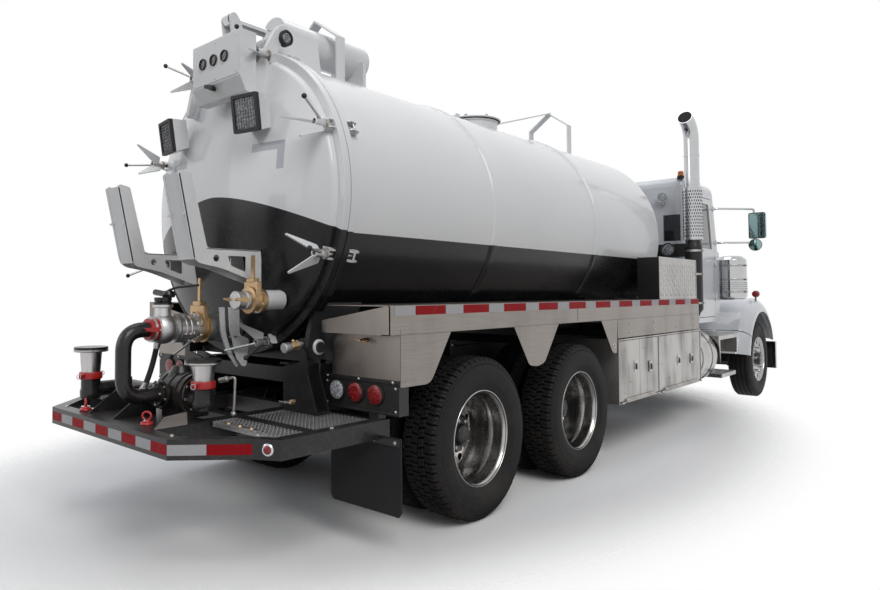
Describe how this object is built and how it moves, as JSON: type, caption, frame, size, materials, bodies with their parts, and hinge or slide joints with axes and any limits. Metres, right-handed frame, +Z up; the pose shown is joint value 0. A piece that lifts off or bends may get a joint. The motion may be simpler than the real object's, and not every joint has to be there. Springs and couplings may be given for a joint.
{
  "type": "tanker truck",
  "caption": "Heavy three-axle tanker truck with a tipping white water tank, hinged rear door with valves, and a conventional cab.",
  "frame": {"origin": "on the ground, midway between the rear and the front bumper, on the centre line", "axes": "+X forward, +Y to the truck's left, +Z up"},
  "size_m": [9.57, 2.99, 3.435],
  "materials": {
    "black_paint": "satin",
    "brass": "worn",
    "cab_trim": "matte",
    "cast_black": "matte",
    "chrome": "polished",
    "clear_glass": "clear",
    "flap_rubber": "matte",
    "frame_steel": "matte",
    "grey_paint": "gloss",
    "hood_shell": "gloss",
    "lamp_plastic": "gloss",
    "lift_steel": "satin",
    "polished_alloy": "polished",
    "stainless": "brushed",
    "tread_alloy": "worn",
    "tyre_rubber": "matte",
    "white_paint": "satin"
  },
  "bodies": {
    "chassis": {"frame_rails": "frame_steel", "front_suspension": "frame_steel", "rear_bogie": "frame_steel", "engine_radiator": "cast_black", "cab_shell": "grey_paint", "cab_glass": "clear_glass", "cab_interior": "cab_trim", "front_bumper": "chrome", "fender_tails": "grey_paint", "fuel_tanks": "polished_alloy", "cab_steps": "tread_alloy", "air_cleaners": "chrome", "exhaust_stack": "chrome", "mirrors": "chrome", "deck_sides": "stainless", "tool_boxes": "tread_alloy", "guard_boxes": "tread_alloy", "rear_platform": "black_paint", "platform_grating": "stainless", "tail_lights": "lamp_plastic", "mud_flaps": "flap_rubber", "pump_set": "cast_black"},
    "tank": {"tank_shell": "white_paint", "tank_head": "white_paint", "tank_subframe": "black_paint", "tank_top_gear": "lift_steel", "lift_barrel": "lift_steel"},
    "rear_door_set": {"rear_door": "white_paint", "door_hooks": "lift_steel", "door_valves": "brass", "door_piping": "cast_black", "gauge_box": "white_paint", "work_lights": "white_paint"},
    "lift_ram": {"lift_rod": "chrome"},
    "hoist_tube": {"hoist_barrel": "black_paint"},
    "hoist_ram": {"hoist_rod": "chrome"},
    "manway_cover": {"manway_lid": "white_paint"},
    "hood": {"hood_shell": "hood_shell", "hood_trim": "chrome"},
    "door_left": {"cab_door_left": "grey_paint", "door_glass_left": "clear_glass"},
    "door_right": {"cab_door_right": "grey_paint", "door_glass_right": "clear_glass"},
    "lockers_left": {"tool_doors_left": "tread_alloy"},
    "lockers_right": {"tool_doors_right": "tread_alloy"},
    "steer_left": {"knuckle_left": "frame_steel"},
    "steer_right": {"knuckle_right": "frame_steel"},
    "wheel_front_left": {"tyre_front_left": "tyre_rubber", "rim_front_left": "polished_alloy"},
    "wheel_front_right": {"tyre_front_right": "tyre_rubber", "rim_front_right": "polished_alloy"},
    "wheels_mid_left": {"tyres_mid_left": "tyre_rubber", "rims_mid_left": "polished_alloy"},
    "wheels_mid_right": {"tyres_mid_right": "tyre_rubber", "rims_mid_right": "polished_alloy"},
    "wheels_rear_left": {"tyres_rear_left": "tyre_rubber", "rims_rear_left": "polished_alloy"},
    "wheels_rear_right": {"tyres_rear_right": "tyre_rubber", "rims_rear_right": "polished_alloy"}
  },
  "joints": [
    {"name": "tank_tilt", "type": "hinge", "parent": "chassis", "child": "tank", "pos_m": [-3.81, 0, 1.112], "axis": [0, -1, 0], "range_deg": [0, 45]},
    {"name": "rear_door_hinge", "type": "hinge", "parent": "tank", "child": "rear_door_set", "pos_m": [-3.8, 0, 3.062], "axis": [0, 1, 0], "range_deg": [0, 90.5]},
    {"name": "lift_slide", "type": "slide", "parent": "tank", "child": "lift_ram", "axis": [1, 0, 0], "range_m": [0, 0.301]},
    {"name": "hoist_pivot", "type": "hinge", "parent": "chassis", "child": "hoist_tube", "pos_m": [-2.53, 0, 0.8], "axis": [0, -1, 0], "range_deg": [0, 64]},
    {"name": "hoist_slide", "type": "slide", "parent": "hoist_tube", "child": "hoist_ram", "axis": [0.9894, 0, 0.1449], "range_m": [0, 0.828]},
    {"name": "manway_hinge", "type": "hinge", "parent": "tank", "child": "manway_cover", "pos_m": [-1.485, 0, 3.047], "axis": [0, -1, 0], "range_deg": [0, 100]},
    {"name": "hood_tilt", "type": "hinge", "parent": "chassis", "child": "hood", "pos_m": [4.665, 0, 0.745], "axis": [0, 1, 0], "range_deg": [0, 60]},
    {"name": "door_left_hinge", "type": "hinge", "parent": "chassis", "child": "door_left", "pos_m": [2.79, 0.997, 1.8], "axis": [0, 0, -1], "range_deg": [0, 70]},
    {"name": "door_right_hinge", "type": "hinge", "parent": "chassis", "child": "door_right", "pos_m": [2.79, -0.997, 1.8], "axis": [0, 0, 1], "range_deg": [0, 70]},
    {"name": "lockers_left_hinge", "type": "hinge", "parent": "chassis", "child": "lockers_left", "pos_m": [0.2, 1.267, 0.492], "axis": [-1, 0, 0], "range_deg": [0, 90]},
    {"name": "lockers_right_hinge", "type": "hinge", "parent": "chassis", "child": "lockers_right", "pos_m": [0.2, -1.267, 0.492], "axis": [1, 0, 0], "range_deg": [0, 90]},
    {"name": "steer_left_hinge", "type": "hinge", "parent": "chassis", "child": "steer_left", "pos_m": [3.996, 0.86, 0.512], "axis": [0, 0, 1], "range_deg": [-32, 32]},
    {"name": "steer_right_hinge", "type": "hinge", "parent": "chassis", "child": "steer_right", "pos_m": [3.996, -0.86, 0.512], "axis": [0, 0, 1], "range_deg": [-32, 32]},
    {"name": "front_left_spin", "type": "hinge", "parent": "steer_left", "child": "wheel_front_left", "pos_m": [3.996, 1.05, 0.512], "axis": [0, 1, 0], "continuous": true},
    {"name": "front_right_spin", "type": "hinge", "parent": "steer_right", "child": "wheel_front_right", "pos_m": [3.996, -1.05, 0.512], "axis": [0, 1, 0], "continuous": true},
    {"name": "mid_left_spin", "type": "hinge", "parent": "chassis", "child": "wheels_mid_left", "pos_m": [-1.512, 0.921, 0.512], "axis": [0, 1, 0], "continuous": true},
    {"name": "mid_right_spin", "type": "hinge", "parent": "chassis", "child": "wheels_mid_right", "pos_m": [-1.512, -0.921, 0.512], "axis": [0, 1, 0], "continuous": true},
    {"name": "rear_left_spin", "type": "hinge", "parent": "chassis", "child": "wheels_rear_left", "pos_m": [-2.88, 0.921, 0.512], "axis": [0, 1, 0], "continuous": true},
    {"name": "rear_right_spin", "type": "hinge", "parent": "chassis", "child": "wheels_rear_right", "pos_m": [-2.88, -0.921, 0.512], "axis": [0, 1, 0], "continuous": true}
  ],
  "couplings": [
    {"joint": "rear_door_hinge", "follows": "tank_tilt", "ratio": 2},
    {"joint": "lift_slide", "follows": "tank_tilt", "m_per_rad": 0.38197},
    {"joint": "hoist_pivot", "follows": "tank_tilt", "ratio": 1.4159},
    {"joint": "hoist_slide", "follows": "tank_tilt", "m_per_rad": 1.0512},
    {"joint": "steer_right_hinge", "follows": "steer_left_hinge", "ratio": 1}
  ]
}
